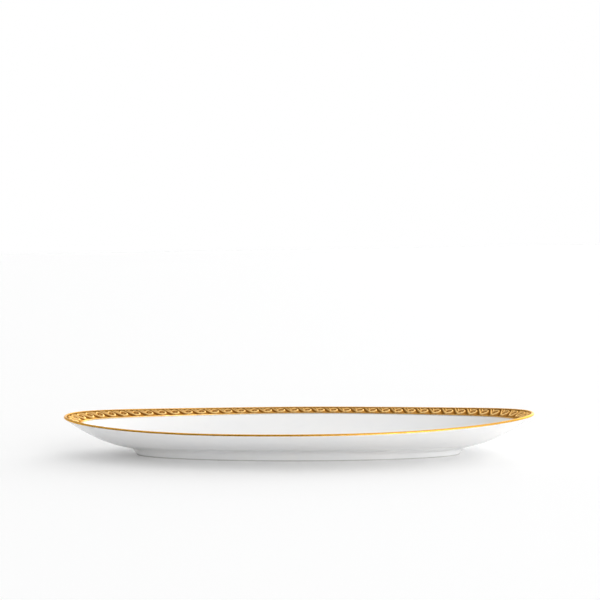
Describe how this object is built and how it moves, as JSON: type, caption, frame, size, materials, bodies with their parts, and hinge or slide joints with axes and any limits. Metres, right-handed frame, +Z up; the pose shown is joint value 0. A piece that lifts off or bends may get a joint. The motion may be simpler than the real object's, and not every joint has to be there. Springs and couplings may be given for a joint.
{
  "type": "serving platter",
  "caption": "Long oval coupe serving platter in white glazed porcelain, with a foot ring, a gilded lip and a gilded relief band of running scrolls inside the rim.",
  "frame": {"origin": "middle of the foot ring's resting edge, in the plane of the table", "axes": "+X along the platter's length, +Y across its width, +Z up out of the well"},
  "size_m": [0.4, 0.2, 0.0346],
  "materials": {
    "porcelain": "gloss",
    "bare_porcelain": "matte",
    "gilding": "satin"
  },
  "bodies": {
    "root": {"platter_body": "porcelain", "foot_ring": "porcelain", "foot_bearing_edge": "bare_porcelain", "lip_gilding": "gilding", "relief_ground": "gilding", "inner_bead": "gilding", "scroll_relief": "gilding"}
  },
  "joints": []
}
